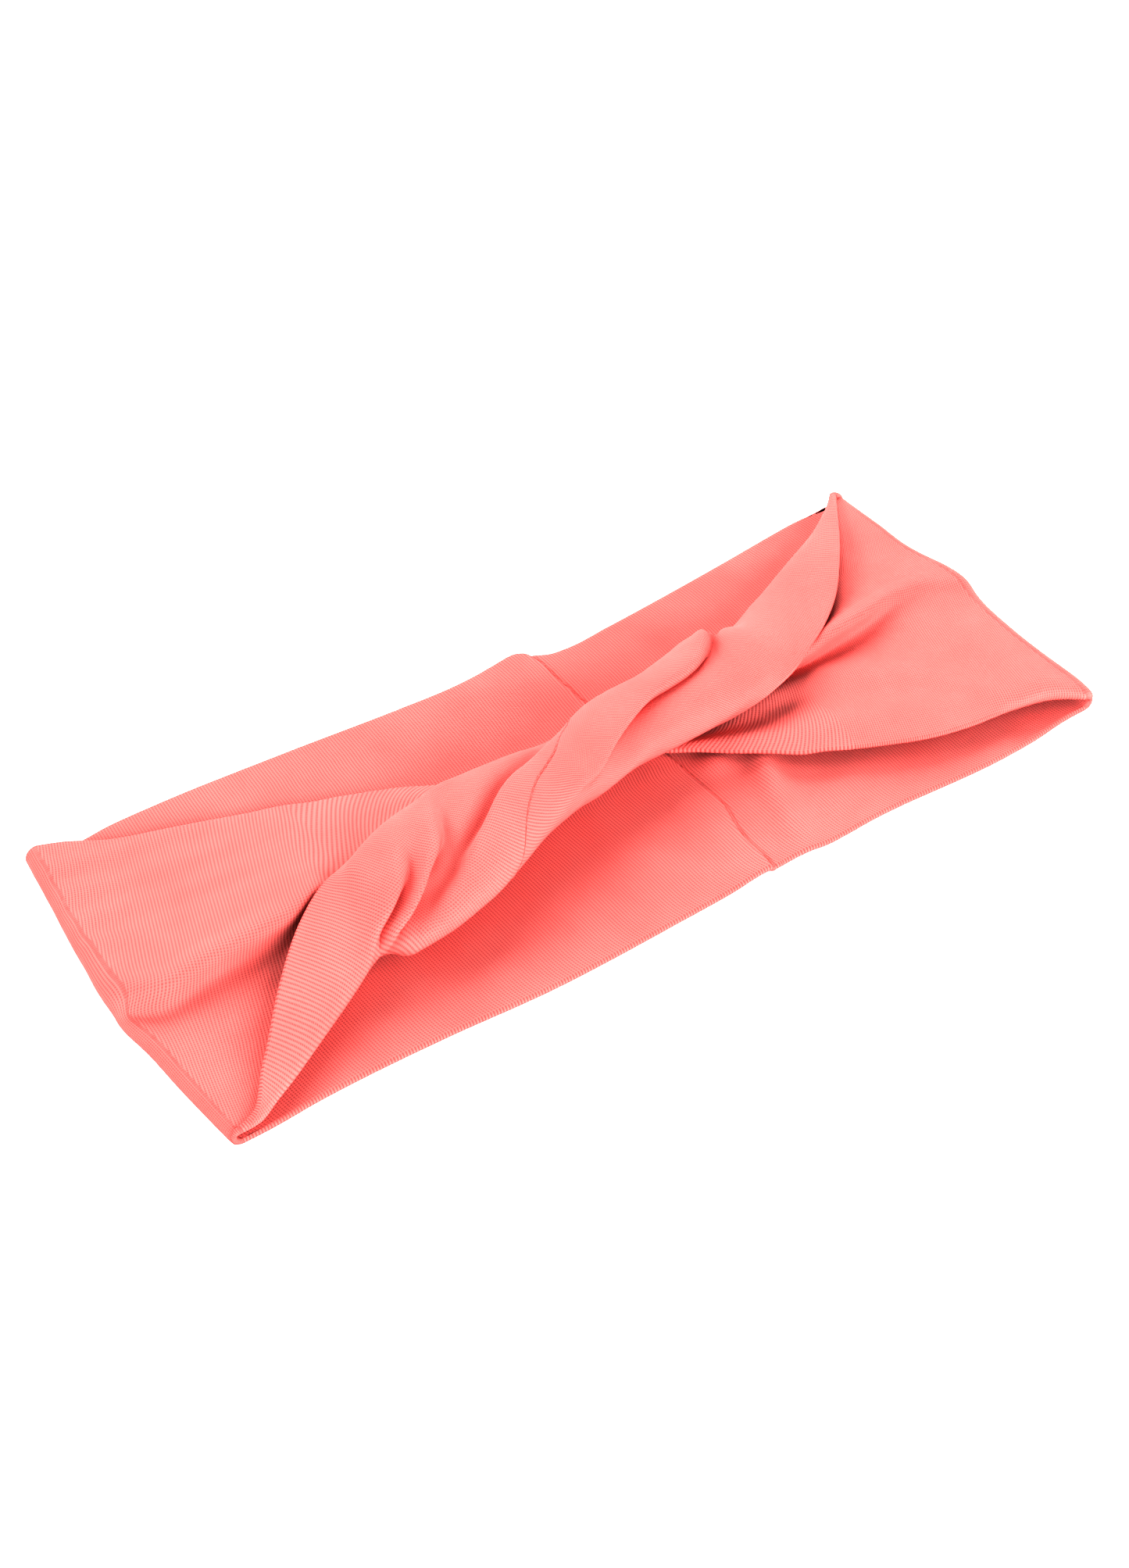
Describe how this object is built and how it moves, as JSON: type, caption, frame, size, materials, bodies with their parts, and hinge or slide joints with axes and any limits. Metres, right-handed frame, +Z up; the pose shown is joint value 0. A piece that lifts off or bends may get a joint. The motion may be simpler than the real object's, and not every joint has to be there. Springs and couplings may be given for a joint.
{
  "type": "spa headband",
  "caption": "Wide soft jersey headband: a flattened cloth tube closed into a loop, with a full turn twisted into its front and one seam across the back.",
  "frame": {"origin": "the middle of the flattened loop's box, on the surface that it lies on", "axes": "+X along the flattened loop, from the end where the front edge of the front layer turns up and over towards the back; +Y from the front edge to the back edge; +Z up, from the back layer to the twisted front layer"},
  "size_m": [0.24, 0.098, 0.0253],
  "materials": {
    "outer_jersey": "matt fine knit, coral pink, ribs across the band",
    "inner_jersey": "matt fine knit, coral pink, ribs across the band",
    "hidden_jersey": "matt fine knit, raw edge",
    "sewing_thread": "spun polyester thread, slightly darker than the cloth"
  },
  "bodies": {
    "back": {"back_left_outer_ply": "outer_jersey", "back_left_inner_ply": "inner_jersey", "back_right_outer_ply": "outer_jersey", "back_right_inner_ply": "inner_jersey", "back_seam_left_allowance": "hidden_jersey", "back_seam_right_allowance": "hidden_jersey", "back_left_tube_allowance": "hidden_jersey", "back_right_tube_allowance": "hidden_jersey", "back_left_tube_thread": "sewing_thread", "back_right_tube_thread": "sewing_thread", "back_seam_thread": "sewing_thread", "back_seam_tack": "sewing_thread", "left_end_inner_ply": "inner_jersey", "left_end_outer_ply": "outer_jersey", "right_end_inner_ply": "inner_jersey", "right_end_outer_ply": "outer_jersey"},
    "front": {"front_outer_ply": "outer_jersey", "front_inner_ply": "inner_jersey", "front_tube_allowance": "hidden_jersey", "front_tube_thread": "sewing_thread"}
  },
  "joints": [
    {"name": "loop_open", "type": "slide", "parent": "back", "child": "front", "axis": [0, 0, 1], "range_m": [0, 0.06]}
  ]
}
